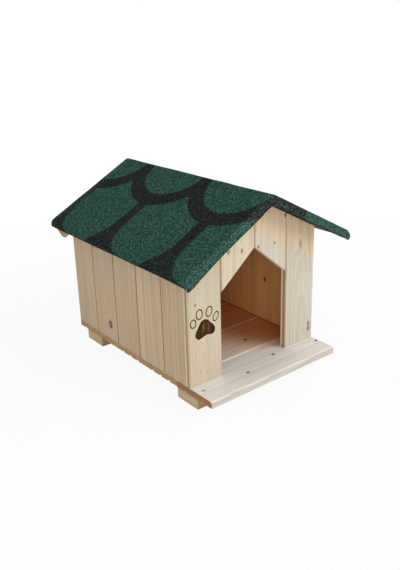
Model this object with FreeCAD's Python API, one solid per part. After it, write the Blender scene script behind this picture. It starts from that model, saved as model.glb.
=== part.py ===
"""Cat house of tongue-and-groove boards with a lift-off gabled roof under one sheet of roofing felt.

Millimetres. +X is the right-hand side seen from the doorway, +Y points to the back, +Z is up.
The origin lies under the middle of the whole outline, on the surface that the feet stand on.
"""

import FreeCAD
import Part
import math
import os

Vector = FreeCAD.Vector

# Board stock
board_thickness = 14.0
board_cover = 88.0
floor_cover = 114.0
joint_bevel = 2.2
tongue_length = 7.0
tongue_thickness = 5.0
tongue_setback = 3.3
relief_pitch = 29.0
relief_width = 7.0
relief_depth = 2.5
relief_flank = 1.5
narrowest_rip = 21.0

# Clearances
joint_gap = 0.3
tongue_play = 0.3
groove_end_play = 0.7
roof_seat_gap = 0.3
batten_gap = 0.3
fastener_play = 0.05

# House
body_width = 342.0
body_depth = 434.0
wall_height = 260.0
first_side_board = 72.0
door_shoulder_height = 180.0
door_apex_height = 253.0

# Floor and feet
porch_reach = 66.0
porch_board_width = 110.0
porch_nose_radius = 6.0
foot_height = 28.0
foot_length = 65.0
foot_width = 45.0
foot_inset = 4.0
foot_edge = 2.0
front_foot_start = -17.0
rear_foot_setback = 25.0

# Inner frame
post_side = 24.0
rail_thickness = 14.0
rail_height = 28.0
rail_drop = 2.0

# Roof
roof_slope = 28.0
roof_board_thickness = 12.0
eave_overhang = 39.0
front_overhang = 51.0
batten_thickness = 14.0
batten_height = 34.0
batten_end_setback = 4.0
eave_edge_radius = 9.0
felt_thickness = 3.0
felt_drip = 2.0
ridge_bend_radius = 10.0

# Fasteners
brad_thickness = 1.6
brad_head_width = 3.4
brad_head_height = 0.8
wall_brad_length = 30.0
wall_brad_end_distance = 26.0
wall_brad_stagger = 8.0
deck_brad_length = 32.0
deck_brad_offset = 7.0
foot_brad_length = 36.0
foot_brad_spread = 48.0

# Derived planes and levels
slope = math.radians(roof_slope)
half_width = body_width / 2
floor_top = foot_height + board_thickness
rear_overhang = batten_gap + batten_thickness
front_reach = max(porch_reach, front_overhang + felt_thickness)
total_depth = front_reach + body_depth + rear_overhang + felt_thickness
front_face = front_reach - total_depth / 2
back_face = front_face + body_depth
porch_front = front_face - porch_reach
inner_front = front_face + board_thickness
inner_back = back_face - board_thickness
inner_half_width = half_width - board_thickness
eave_level = floor_top + wall_height + roof_seat_gap / math.cos(slope)
ridge_underside = eave_level + half_width * math.tan(slope)
roof_run = half_width + eave_overhang
slope_length = roof_run / math.cos(slope)
roof_front = front_face - front_overhang
roof_back = back_face + rear_overhang
eave_radius = min(eave_edge_radius, roof_board_thickness - joint_bevel)
groove_depth = tongue_length - joint_gap + groove_end_play
rail_top = floor_top + wall_height - rail_drop
post_top = rail_top - rail_height
beyond = body_width + body_depth

pieces = {}


def prism(outline, corner, across, through, along):
    """Solid made by moving a closed outline of (across, through) points along a vector."""
    points = [corner + across * u + through * t for u, t in outline]
    face = Part.Face(Part.makePolygon(points + [points[0]]))
    return face.extrude(along)


def block(low, high):
    """Box between two opposite corners."""
    return Part.makeBox(high.x - low.x, high.y - low.y, high.z - low.z, low)


def mirrored(shape):
    """The same shape on the other side of the house."""
    return shape.mirror(Vector(0, 0, 0), Vector(1, 0, 0))


def board_edges(start, first_width, cover, end):
    """Edges of a row of boards: where each one starts, and where the last one, ripped to fit, ends."""
    edges = [start]
    edge = start + first_width
    while edge < end - narrowest_rip:
        edges.append(edge)
        edge += cover
    return edges + [end]


def relief_notches(width, thickness):
    """Points of the relief grooves in a board's back, from its right edge to its left edge."""
    count = max(0, round(width / relief_pitch) - 1)
    notches = []
    for index in range(count, 0, -1):
        middle = width * index / (count + 1)
        bottom = thickness - relief_depth
        notches.append((middle + relief_width / 2, thickness))
        notches.append((middle + relief_width / 2 - relief_flank, bottom))
        notches.append((middle - relief_width / 2 + relief_flank, bottom))
        notches.append((middle - relief_width / 2, thickness))
    return notches


def board_outline(width, groove=True, tongue=True, thickness=board_thickness, relief=False):
    """Cross-section of a board, face at 0 and back at its thickness, groove left and tongue right."""
    tongue_start = tongue_setback
    tongue_end = tongue_start + tongue_thickness
    if tongue:
        edge = width - joint_gap
        tip = edge + tongue_length
        right = [
            (edge - joint_bevel, 0),
            (edge, joint_bevel),
            (edge, tongue_start),
            (tip, tongue_start),
            (tip, tongue_end),
            (edge, tongue_end),
            (edge, thickness),
        ]
    else:
        right = [(width, 0), (width, thickness)]
    if groove:
        left = [
            (0, thickness),
            (0, tongue_end + tongue_play),
            (groove_depth, tongue_end + tongue_play),
            (groove_depth, tongue_start - tongue_play),
            (0, tongue_start - tongue_play),
            (0, joint_bevel),
            (joint_bevel, 0),
        ]
    else:
        left = [(0, thickness), (0, 0)]
    back = relief_notches(width, thickness) if relief else []
    return right + back + left


def rounded(shape, radius, point):
    """Shape with a fillet on the straight edge that passes through a point."""
    probe = Part.Vertex(point)
    edges = [edge for edge in shape.Edges if edge.distToShape(probe)[0] < joint_gap]
    return shape.makeFillet(radius, edges)


def space_above_walls():
    """Everything above the tops of the walls, which stop just short of the roof boards."""
    ridge = floor_top + wall_height + half_width * math.tan(slope)
    drop = beyond * math.tan(slope)
    outline = [(0, ridge), (beyond, ridge - drop), (beyond, ridge + beyond)]
    outline += [(-beyond, ridge + beyond), (-beyond, ridge - drop)]
    start = Vector(0, -beyond, 0)
    return prism(outline, start, Vector(1, 0, 0), Vector(0, 0, 1), Vector(0, 2 * beyond, 0))


def doorway():
    """Five-sided doorway, two boards wide, through the front wall."""
    left = -board_cover - joint_gap
    shoulder = floor_top + door_shoulder_height
    outline = [(left, floor_top), (board_cover, floor_top), (board_cover, shoulder)]
    outline += [(0, floor_top + door_apex_height), (left, shoulder)]
    start = Vector(0, front_face - board_thickness, 0)
    return prism(outline, start, Vector(1, 0, 0), Vector(0, 0, 1), Vector(0, 3 * board_thickness, 0))


def gable_joints():
    """Left edges of the four boards in a gable wall, and the right edge of the last one."""
    return [-half_width, -board_cover, 0, board_cover, half_width]


def make_front_wall():
    """Four upright boards, the middle two standing over the doorway."""
    names = ["front_board_left", "front_board_mid_left", "front_board_mid_right", "front_board_right"]
    joints = gable_joints()
    above = space_above_walls()
    opening = doorway()
    top = Vector(0, 0, ridge_underside)
    for index, name in enumerate(names):
        over_door = 0 < index < len(names) - 1
        foot = floor_top + door_shoulder_height if over_door else floor_top
        outline = board_outline(joints[index + 1] - joints[index], tongue=index < len(names) - 1)
        start = Vector(joints[index], front_face, foot)
        board = prism(outline, start, Vector(1, 0, 0), Vector(0, 1, 0), top)
        pieces[name] = board.cut(above).cut(opening)


def make_back_wall():
    """Four upright boards without an opening."""
    names = ["back_board_left", "back_board_mid_left", "back_board_mid_right", "back_board_right"]
    joints = gable_joints()
    above = space_above_walls()
    top = Vector(0, 0, ridge_underside)
    last = len(names) - 1
    for index, name in enumerate(names):
        outline = board_outline(joints[index + 1] - joints[index], groove=index > 0, tongue=index < last)
        start = Vector(joints[index], back_face, floor_top)
        board = prism(outline, start, Vector(1, 0, 0), Vector(0, -1, 0), top)
        pieces[name] = board.cut(above)


def make_side_walls():
    """Upright boards between the gable walls, bevelled on top to lie under the roof."""
    joints = board_edges(inner_front, first_side_board, board_cover, inner_back)
    above = space_above_walls()
    top = Vector(0, 0, ridge_underside)
    last = len(joints) - 2
    ends = {0: "front", last: "rear"}
    for index in range(last + 1):
        outline = board_outline(joints[index + 1] - joints[index], groove=index > 0, tongue=index < last)
        start = Vector(-half_width, joints[index], floor_top)
        board = prism(outline, start, Vector(0, 1, 0), Vector(1, 0, 0), top).cut(above)
        place = ends.get(index, "mid_%d" % index)
        pieces["left_board_%s" % place] = board
        pieces["right_board_%s" % place] = mirrored(board)


def make_floor():
    """Boards laid across the house, faces up, the front one standing out as a porch."""
    edges = board_edges(porch_front, porch_board_width, floor_cover, back_face)
    last = len(edges) - 2
    for index in range(last + 1):
        width = edges[index + 1] - edges[index]
        outline = board_outline(width, groove=index > 0, tongue=index < last, relief=True)
        start = Vector(-half_width, edges[index], floor_top)
        board = prism(outline, start, Vector(0, 1, 0), Vector(0, 0, -1), Vector(body_width, 0, 0))
        if index == 0:
            pieces["porch_board"] = rounded(board, porch_nose_radius, Vector(0, porch_front, floor_top))
        else:
            pieces["floor_board_%d" % index] = board


def foot_starts():
    """Front faces of the front and rear feet."""
    return {"front": front_face + front_foot_start, "rear": back_face - rear_foot_setback - foot_length}


def make_feet():
    """Four blocks under the floor with eased lower edges."""
    outer = half_width - foot_inset
    for place, start in foot_starts().items():
        foot = block(Vector(-outer, start, 0), Vector(foot_width - outer, start + foot_length, foot_height))
        lower = [edge for edge in foot.Edges if edge.BoundBox.ZMax < foot_edge / 2]
        foot = foot.makeChamfer(foot_edge, lower)
        pieces["foot_%s_left" % place] = foot
        pieces["foot_%s_right" % place] = mirrored(foot)


def make_inner_frame():
    """Corner posts on the floor, and the rails that lie on them along the side walls."""
    post_rows = {"front": inner_front, "rear": inner_back - post_side}
    for place, start in post_rows.items():
        low = Vector(-inner_half_width, start, floor_top)
        post = block(low, Vector(post_side - inner_half_width, start + post_side, post_top))
        pieces["post_%s_left" % place] = post
        pieces["post_%s_right" % place] = mirrored(post)
    low = Vector(-inner_half_width, inner_front, post_top)
    rail = block(low, Vector(rail_thickness - inner_half_width, inner_back, rail_top))
    pieces["wall_rail_left"] = rail
    pieces["wall_rail_right"] = mirrored(rail)


def left_slope():
    """Eave corner under the left roof slope, with its unit vectors up the slope and out of it."""
    corner = Vector(-roof_run, 0, ridge_underside - roof_run * math.tan(slope))
    uphill = Vector(math.cos(slope), 0, math.sin(slope))
    outward = Vector(-math.sin(slope), 0, math.cos(slope))
    return corner, uphill, outward


def beyond_ridge():
    """Everything right of the ridge joint of the left slope."""
    return block(Vector(-joint_gap / 2, -beyond, 0), Vector(beyond, beyond, 2 * beyond))


def deck_joints():
    """Lower edges of the roof boards of one slope, from the eave up, and the upper end at the ridge."""
    return board_edges(0, board_cover, board_cover, slope_length + roof_board_thickness * math.tan(slope))


def make_roof_deck():
    """Boards along the ridge on each slope, faces down, mitred where the slopes meet."""
    joints = deck_joints()
    corner, uphill, outward = left_slope()
    past_ridge = beyond_ridge()
    last = len(joints) - 2
    run = Vector(0, roof_back - roof_front, 0)
    for index in range(last + 1):
        width = joints[index + 1] - joints[index]
        outline = board_outline(width, index > 0, index < last, roof_board_thickness)
        start = corner + uphill * joints[index] + Vector(0, roof_front, 0)
        board = prism(outline, start, uphill, outward, run)
        if index == 0:
            eave = corner + outward * roof_board_thickness
            board = rounded(board, eave_radius, eave)
        board = board.cut(past_ridge)
        pieces["roof_board_left_%d" % (index + 1)] = board
        pieces["roof_board_right_%d" % (index + 1)] = mirrored(board)


def batten_rows():
    """Front faces of the battens and how far up the slope each row starts."""
    inside = roof_run - inner_half_width + rail_thickness + batten_gap
    return {
        "front": (inner_front + batten_gap, inside / math.cos(slope)),
        "rear": (back_face + batten_gap, batten_end_setback),
    }


def make_roof_battens():
    """Battens under the roof boards, one pair inside the front wall and one behind the back wall."""
    corner, uphill, outward = left_slope()
    past_ridge = beyond_ridge()
    for place, (start, setback) in batten_rows().items():
        outline = [(setback, 0), (slope_length, 0), (slope_length, -batten_height), (setback, -batten_height)]
        origin = corner + Vector(0, start, 0)
        batten = prism(outline, origin, uphill, outward, Vector(0, batten_thickness, 0)).cut(past_ridge)
        pieces["roof_batten_%s_left" % place] = batten
        pieces["roof_batten_%s_right" % place] = mirrored(batten)


def roof_section(rise, reach, nose_radius, depth, ridge_radius=0.0):
    """Face across the roof, from one eave over the ridge to the other, between two heights above the slope."""
    corner, uphill, outward = left_slope()
    low = corner - uphill * reach + outward * depth
    shoulder = corner - uphill * reach + outward * (rise - nose_radius)
    turn = shoulder + uphill * nose_radius
    crown = turn + (outward - uphill) * (nose_radius * math.sqrt(0.5))
    top = turn + outward * nose_radius
    peak = Vector(0, 0, ridge_underside + rise / math.cos(slope))
    bend_start = peak - uphill * (ridge_radius * math.tan(slope))
    valley = Vector(0, 0, ridge_underside + depth / math.cos(slope))
    half = [
        Part.LineSegment(valley, low).toShape(),
        Part.LineSegment(low, shoulder).toShape(),
        Part.Arc(shoulder, crown, top).toShape(),
        Part.LineSegment(top, bend_start).toShape(),
    ]
    edges = half + [mirrored(edge) for edge in half]
    if ridge_radius > 0:
        ridge = peak - Vector(0, 0, ridge_radius * (1 / math.cos(slope) - 1))
        bend_end = Vector(-bend_start.x, 0, bend_start.z)
        edges.append(Part.Arc(bend_start, ridge, bend_end).toShape())
    return Part.Face(Part.Wire(Part.__sortEdges__(edges)))


def make_felt():
    """One sheet over both slopes, turned down past the eaves and past the ends of the roof boards."""
    rise = roof_board_thickness + felt_thickness
    nose = eave_radius + felt_thickness
    outside = roof_section(rise, felt_thickness, nose, -felt_drip, ridge_bend_radius)
    outside.translate(Vector(0, roof_front - felt_thickness, 0))
    sheet = outside.extrude(Vector(0, roof_back - roof_front + 2 * felt_thickness, 0))
    deck = roof_section(roof_board_thickness, 0, eave_radius, -felt_drip - felt_thickness)
    deck.translate(Vector(0, roof_front, 0))
    pieces["roofing_felt"] = sheet.cut(deck.extrude(Vector(0, roof_back - roof_front, 0)))


def brad_outline(length, play):
    """T-headed brad from its head down to its tip, or with play the hole that takes it."""
    head = brad_head_width / 2 + play
    shank = brad_thickness / 2 + play
    under_head = brad_head_height + play
    tip = length + play
    right = [(head, 0), (head, under_head), (shank, under_head), (shank, tip)]
    left = [(-across, depth) for across, depth in reversed(right)]
    return right + left


def drive(brads, length, point, direction, grain, held):
    """Add one brad, head flush at a point and wide along the grain, and open its hole in what it holds."""
    side = direction.cross(grain)
    for play in (0, fastener_play):
        width = brad_thickness + 2 * play
        corner = point - side * (width / 2)
        shape = prism(brad_outline(length, play), corner, grain, direction, side * width)
        if play == 0:
            brads.append(shape)
    for name in held:
        if pieces[name].BoundBox.intersect(shape.BoundBox):
            pieces[name] = pieces[name].cut(shape)


def named(*starts):
    """Names of the pieces that begin with any of these words."""
    return [name for name in pieces if name.startswith(starts)]


def make_foot_brads():
    """Two brads up through each foot into the floor."""
    brads = []
    held = named("foot_", "floor_board_", "porch_board")
    grain = Vector(0, 1, 0)
    for side in (-1, 1):
        x = side * (half_width - foot_inset - foot_width / 2)
        for start in foot_starts().values():
            middle = start + foot_length / 2
            for y in (middle - foot_brad_spread / 2, middle + foot_brad_spread / 2):
                drive(brads, foot_brad_length, Vector(x, y, 0), Vector(0, 0, 1), grain, held)
    pieces["foot_brads"] = Part.makeCompound(brads)


def make_wall_brads():
    """Brads through the walls into the corner posts, near the top and the bottom of each post."""
    brads = []
    held = named("front_board_", "back_board_", "left_board_", "right_board_", "post_")
    grain = Vector(0, 0, 1)
    post_middle = inner_half_width - post_side / 2
    for height in (floor_top + wall_brad_end_distance, post_top - wall_brad_end_distance):
        for side in (-1, 1):
            x = side * post_middle
            drive(brads, wall_brad_length, Vector(x, front_face, height), Vector(0, 1, 0), grain, held)
            drive(brads, wall_brad_length, Vector(x, back_face, height), Vector(0, -1, 0), grain, held)
            for y in (inner_front + post_side / 2, inner_back - post_side / 2):
                point = Vector(side * half_width, y, height + wall_brad_stagger)
                drive(brads, wall_brad_length, point, Vector(-side, 0, 0), grain, held)
    pieces["wall_brads"] = Part.makeCompound(brads)


def make_deck_brads():
    """Brads through the roof boards into the battens, under the felt."""
    brads = []
    held = named("roof_board_", "roof_batten_")
    grain = Vector(0, 1, 0)
    joints = deck_joints()
    corner, uphill, outward = left_slope()
    for start, setback in batten_rows().values():
        for lower, upper in zip(joints, joints[1:]):
            reach = (lower + upper) / 2 + deck_brad_offset
            if reach < setback + batten_thickness:
                continue
            point = corner + uphill * reach + outward * roof_board_thickness
            point.y = start + batten_thickness / 2
            drive(brads, deck_brad_length, point, outward * -1, grain, held)
            opposite = Vector(-point.x, point.y, point.z)
            drive(brads, deck_brad_length, opposite, Vector(outward.x, 0, -outward.z), grain, held)
    pieces["deck_brads"] = Part.makeCompound(brads)


def main():
    """Build every piece and write each one to its own file."""
    make_floor()
    make_feet()
    make_inner_frame()
    make_front_wall()
    make_back_wall()
    make_side_walls()
    make_roof_deck()
    make_roof_battens()
    make_felt()
    make_foot_brads()
    make_wall_brads()
    make_deck_brads()
    os.makedirs("parts", exist_ok=True)
    for name, shape in pieces.items():
        shape.exportStep("parts/%s.step" % name)
    print("%d pieces, house %.0f x %.0f mm" % (len(pieces), body_width, body_depth))


main()
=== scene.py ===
"""Looks of the cat house: pine boards, granule felt, an engraved paw mark, studio light and camera.

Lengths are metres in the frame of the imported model: X to the right, Y to the back, Z up.
"""

import logging
import math
import random
from dataclasses import dataclass, field, replace
from enum import Enum
from typing import Any, Callable, Sequence, Union

import bmesh
import bpy
from mathutils import Matrix, Vector, noise


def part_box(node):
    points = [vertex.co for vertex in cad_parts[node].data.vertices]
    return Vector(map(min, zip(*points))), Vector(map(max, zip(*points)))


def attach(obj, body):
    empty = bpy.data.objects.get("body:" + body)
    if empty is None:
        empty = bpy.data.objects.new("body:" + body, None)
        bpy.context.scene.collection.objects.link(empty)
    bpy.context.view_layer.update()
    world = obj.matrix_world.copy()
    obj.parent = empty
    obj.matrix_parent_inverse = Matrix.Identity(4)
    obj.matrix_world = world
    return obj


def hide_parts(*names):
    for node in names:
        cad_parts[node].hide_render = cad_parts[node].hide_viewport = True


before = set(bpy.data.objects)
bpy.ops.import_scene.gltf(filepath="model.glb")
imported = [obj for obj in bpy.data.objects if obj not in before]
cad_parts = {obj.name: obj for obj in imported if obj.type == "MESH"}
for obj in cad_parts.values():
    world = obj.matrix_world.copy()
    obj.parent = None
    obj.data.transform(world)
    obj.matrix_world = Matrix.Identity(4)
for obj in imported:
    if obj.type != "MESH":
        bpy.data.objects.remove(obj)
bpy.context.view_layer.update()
LOG = logging.getLogger("cat_house")

ROOF_PITCH = math.radians(28)
RISE, LEVEL = math.sin(ROOF_PITCH), math.cos(ROOF_PITCH)
FRONT_FACE = -0.19265
WALL_PEAK = 0.393
FELT_LAY = "felt_lay"
WHITE = (1.0, 1.0, 1.0, 1.0)
SIDES = ("left", "right")
CORNERS = ("front_left", "front_right", "rear_left", "rear_right")
WELD_GAP = 0.00001
# How far a face looks one way, from none of it to all of it, to count as one of these.
END_FACE, SAWN_EDGE, LEVEL_FACE, NOSE_SHADE_FACING = (0.7, 0.9), (0.4, 0.15), (0.3, 0.6), (0.2, 1.15)
# Places in a year ring between which the summer wood begins and ends.
SUMMER, AUTUMN = (0.2, 0.82), (0.86, 1.0)

Colour = tuple[float, float, float]
Place = tuple[float, float, float]
Reading = tuple[float, float]
Feed = Union["Wire", float, Sequence[float]]
Shade = Union["Wire", Colour]
Row = list[tuple[Vector, Vector]]
Cuts = dict[str, dict[str, Any]]


def read_off(readings: Sequence[Reading], place: float) -> float:
    """Reads a value off a list of measured points, straight between them.

    Args:
        readings: Pairs of place and value, in rising order of place.
        place: Where the value is wanted.

    Returns:
        The value at that place, or the nearest end's value outside the list.
    """
    for (low, low_value), (high, high_value) in zip(readings, readings[1:]):
        if place < high:
            share = max(0.0, (place - low) / (high - low))
            return low_value + (high_value - low_value) * share
    return readings[-1][1]


def ease(value: float, low: float, high: float) -> float:
    """Returns 0 at low and 1 at high, with a smooth rise between them."""
    share = min(1.0, max(0.0, (value - low) / (high - low)))
    return share * share * (3 - 2 * share)


def new_piece(name: str, data: bpy.types.ID) -> bpy.types.Object:
    """Puts a new object in the scene.

    Args:
        name: The object's name.
        data: Its mesh, lamp or camera.

    Returns:
        The object.
    """
    piece = bpy.data.objects.new(name, data)
    bpy.context.scene.collection.objects.link(piece)
    return piece


def as_mesh(form: bmesh.types.BMesh, name: str) -> bpy.types.Mesh:
    """Turns a form into a mesh and lets the form go.

    Args:
        form: The form.
        name: The mesh's name.

    Returns:
        The mesh.
    """
    mesh = bpy.data.meshes.new(name)
    form.to_mesh(mesh)
    form.free()
    return mesh


def modify(piece: bpy.types.Object, name: str, kind: str, **settings: Any) -> None:
    """Adds a modifier to a piece.

    Args:
        piece: The piece.
        name: The modifier's name.
        kind: Blender's name of its type.
        settings: Its own properties.
    """
    modifier = piece.modifiers.new(name, kind)
    for key, value in settings.items():
        setattr(modifier, key, value)


def settled(piece: bpy.types.Object, name: str) -> bpy.types.Mesh:
    """Works a piece's modifiers into a new mesh.

    Args:
        piece: The piece.
        name: The mesh's name.

    Returns:
        The mesh.
    """
    graph = bpy.context.evaluated_depsgraph_get()
    mesh = bpy.data.meshes.new_from_object(piece.evaluated_get(graph))
    mesh.name = name
    return mesh


def settle(piece: bpy.types.Object, name: str) -> None:
    """Works a piece's modifiers into its own mesh.

    Args:
        piece: The piece, which isn't a node.
        name: The new mesh's name.
    """
    mesh = settled(piece, name)
    piece.modifiers.clear()
    piece.data = mesh


def bridge(form: bmesh.types.BMesh, rows: Sequence[Sequence[bmesh.types.BMVert]], closed: bool) -> None:
    """Adds faces between rows of corners.

    Args:
        form: The form that the corners belong to.
        rows: Rows of as many corners each.
        closed: Whether each row runs round to its own start.
    """
    for near, far in zip(rows, rows[1:]):
        count = len(near)
        for step in range(count if closed else count - 1):
            after = (step + 1) % count
            form.faces.new((near[step], near[after], far[after], far[step]))


def math_step(operation: str, swapped: bool = False) -> Callable[..., "Wire"]:
    """Makes a method of a wire that adds one Math node.

    Args:
        operation: Blender's name of the step.
        swapped: Whether the wire itself comes last.

    Returns:
        The method.
    """
    def method(wire: "Wire", *others: Feed) -> "Wire":
        """Returns the step's result."""
        return wire.sheet.math(operation, *((*others, wire) if swapped else (wire, *others)))
    return method


class Wire:
    """A shader value that takes part in ordinary arithmetic, one Math node for each step."""

    def __init__(self, sheet: "NodeSheet", socket: bpy.types.NodeSocket) -> None:
        """Keeps the sheet and the output socket that carries the value."""
        self.sheet = sheet
        self.socket = socket

    __add__ = __radd__ = math_step("ADD")
    __sub__ = math_step("SUBTRACT")
    __rsub__ = math_step("SUBTRACT", swapped=True)
    __mul__ = __rmul__ = math_step("MULTIPLY")
    __truediv__ = math_step("DIVIDE")
    __abs__ = math_step("ABSOLUTE")
    fract = math_step("FRACT")

    def hypot(self, other: "Wire") -> "Wire":
        """Returns the length of a slanting line from its two parts."""
        return self.sheet.math("SQRT", self * self + other * other)

    def off_beat(self, spacing: float) -> "Wire":
        """Returns the distance to the nearest whole number of spacings."""
        return abs(self.sheet.math("WRAP", self, spacing / 2, -spacing / 2))

    def step(self, low: float, high: float) -> "Wire":
        """Returns 0 at low and 1 at high, with a smooth rise; low may lie above high."""
        feeds = {"Value": self, "From Min": low, "From Max": high}
        return self.sheet.put("ShaderNodeMapRange", feeds, interpolation_type="SMOOTHSTEP")


class NodeSheet:
    """The node tree of one material or world, written in short calls."""

    def __init__(self, owner: Union[bpy.types.Material, bpy.types.World], fresh: bool = True) -> None:
        """Opens the owner's node tree.

        Args:
            owner: The material or world.
            fresh: Whether the tree is cleared, to start from nothing.
        """
        owner.use_nodes = True
        self.owner = owner
        self.tree = owner.node_tree
        if fresh:
            self.tree.nodes.clear()

    @classmethod
    def material(cls, name: str) -> "NodeSheet":
        """Returns the empty sheet of a new material."""
        return cls(bpy.data.materials.new(name))

    def put(self, kind: str, feeds: dict, out: Union[str, int] = 0, **settings: Any) -> Wire:
        """Adds a node.

        Args:
            kind: Blender's name of the node type.
            feeds: Input name or number to a wire or a plain value.
            out: Name or number of the output that is wanted.
            settings: The node's own properties.

        Returns:
            The wanted output.
        """
        node = self.tree.nodes.new(kind)
        for key, value in settings.items():
            setattr(node, key, value)
        for key, value in feeds.items():
            socket = node.inputs[key]
            if isinstance(value, Wire):
                self.tree.links.new(value.socket, socket)
            else:
                socket.default_value = value
        return Wire(self, node.outputs[out])

    def other(self, wire: Wire, out: Union[str, int]) -> Wire:
        """Returns another output of the node that a wire leaves."""
        return Wire(self, wire.socket.node.outputs[out])

    def math(self, operation: str, *values: Feed) -> Wire:
        """Adds a Math node."""
        return self.put("ShaderNodeMath", dict(enumerate(values)), operation=operation)

    def place(self) -> Wire:
        """Returns the place on the piece in the part's frame, which rides with the piece."""
        return self.put("ShaderNodeTexCoord", {}, "Object")

    def facing(self, way: Sequence[float], normal: str = "True Normal") -> Wire:
        """Returns how far the face, or its smoothed normal, looks in one direction."""
        return self.dot(self.put("ShaderNodeNewGeometry", {}, normal), way)

    def dot(self, vector: Wire, way: Sequence[float]) -> Wire:
        """Returns how far a vector reaches in one direction."""
        return self.put("ShaderNodeVectorMath", {0: vector, 1: way}, "Value", operation="DOT_PRODUCT")

    def split(self, vector: Wire) -> tuple[Wire, Wire, Wire]:
        """Returns a vector's three parts."""
        first = self.put("ShaderNodeSeparateXYZ", {0: vector})
        return first, self.other(first, 1), self.other(first, 2)

    def combine(self, *parts: Feed) -> Wire:
        """Makes a vector of three parts."""
        return self.put("ShaderNodeCombineXYZ", dict(enumerate(parts)))

    def noise(self, vector: Wire, scales: Sequence[float], seed: float, detail: float = 2.0) -> Wire:
        """Adds soft noise from 0 to 1.

        Args:
            vector: Where it is read.
            scales: Waves to the metre in each direction.
            seed: Which part of the noise is used.
            detail: Number of finer waves that are added.

        Returns:
            The noise value.
        """
        shift = (seed * 3.1, seed * 1.7, seed * 2.3)
        spot = self.put("ShaderNodeVectorMath", {0: vector, 1: scales, 2: shift}, operation="MULTIPLY_ADD")
        return self.put("ShaderNodeTexNoise", {"Vector": spot, "Scale": 1.0, "Detail": detail})

    def even_noise(self, vector: Wire, scale: float, seed: float, detail: float = 2.0) -> Wire:
        """Returns soft noise with as many waves to the metre in each direction."""
        return self.noise(vector, (scale, scale, scale), seed, detail)

    def mix(self, share: Feed, first: Shade, second: Shade, blend: str = "MIX") -> Wire:
        """Mixes two colours.

        Args:
            share: Share of the second colour.
            first: The first colour.
            second: The second colour.
            blend: Blender's name of the way to mix them.

        Returns:
            The mixed colour.
        """
        ends = [end if isinstance(end, Wire) else (*end, 1.0) for end in (first, second)]
        feeds = {0: share, 6: ends[0], 7: ends[1]}
        return self.put("ShaderNodeMix", feeds, 2, data_type="RGBA", blend_type=blend)

    def tint(self, share: Feed, colour: Wire, change: Colour) -> Wire:
        """Returns a colour with some of a change of colour."""
        return self.mix(share, colour, change, "MULTIPLY")

    def scale(self, colour: Wire, amount: Feed) -> Wire:
        """Makes a colour lighter or darker."""
        return self.put("ShaderNodeVectorMath", {0: colour, 3: amount}, operation="SCALE")

    def seen(self) -> Wire:
        """Tells looks from light.

        Returns:
            1 where the camera, a reflection or glass looks, and 0 for light itself.
        """
        camera = self.put("ShaderNodeLightPath", {}, "Is Camera Ray")
        glossy = self.other(camera, "Is Glossy Ray")
        through = self.other(camera, "Is Transmission Ray")
        return self.math("MAXIMUM", camera, self.math("MAXIMUM", glossy, through))

    def surface(self, feeds: dict, height: Wire, depth: float) -> None:
        """Ends the sheet in a surface shader.

        Args:
            feeds: The shader's inputs.
            height: Relief from 0 to 1.
            depth: How deep the relief is.
        """
        bump = {"Strength": 1.0, "Distance": depth, "Height": height}
        shader = self.put("ShaderNodeBsdfPrincipled", {**feeds, "Normal": self.put("ShaderNodeBump", bump)})
        self.put_last("ShaderNodeOutputMaterial", shader)

    def put_last(self, kind: str, shader: Wire) -> None:
        """Links a shader to the sheet's output node."""
        node = self.tree.nodes.new(kind)
        self.tree.links.new(shader.socket, node.inputs["Surface"])

    def put_on(self, piece: bpy.types.Object) -> None:
        """Gives the material to a piece after those that it has."""
        piece.data.materials.append(self.owner)


class GrainLay(Enum):
    """Directions of a board's length, width and thickness."""

    FRONT_WALL = ((0, 0, 1), (1, 0, 0), (0, 1, 0))
    SIDE_WALL = ((0, 0, 1), (0, 1, 0), (1, 0, 0))
    FLOOR = ((1, 0, 0), (0, 1, 0), (0, 0, 1))
    RUNNER = ((0, 1, 0), (1, 0, 0), (0, 0, 1))
    LEFT_RAFTER = ((LEVEL, 0, RISE), (-RISE, 0, LEVEL), (0, 1, 0))
    RIGHT_RAFTER = ((-LEVEL, 0, RISE), (RISE, 0, LEVEL), (0, 1, 0))


@dataclass(frozen=True)
class Knot:
    """A branch that a board's face cuts through; stretch is its length over its width."""

    along: float
    across: float
    radius: float
    stretch: float
    depth: float


@dataclass(frozen=True)
class JointTint:
    """Colour of the bevels where boards meet, at an even spacing across the grain.

    Indoors is the share of it that shows inside the house too.
    """

    origin: float
    spacing: float
    colour: Colour
    indoors: float = 0.0
    half_width: float = 0.0022

    def line(self, across: Wire) -> Wire:
        """Returns 1 on the bevels of a joint and 0 on the boards' faces."""
        return (across - self.origin).off_beat(self.spacing).step(self.half_width, self.half_width * 0.55)


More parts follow.
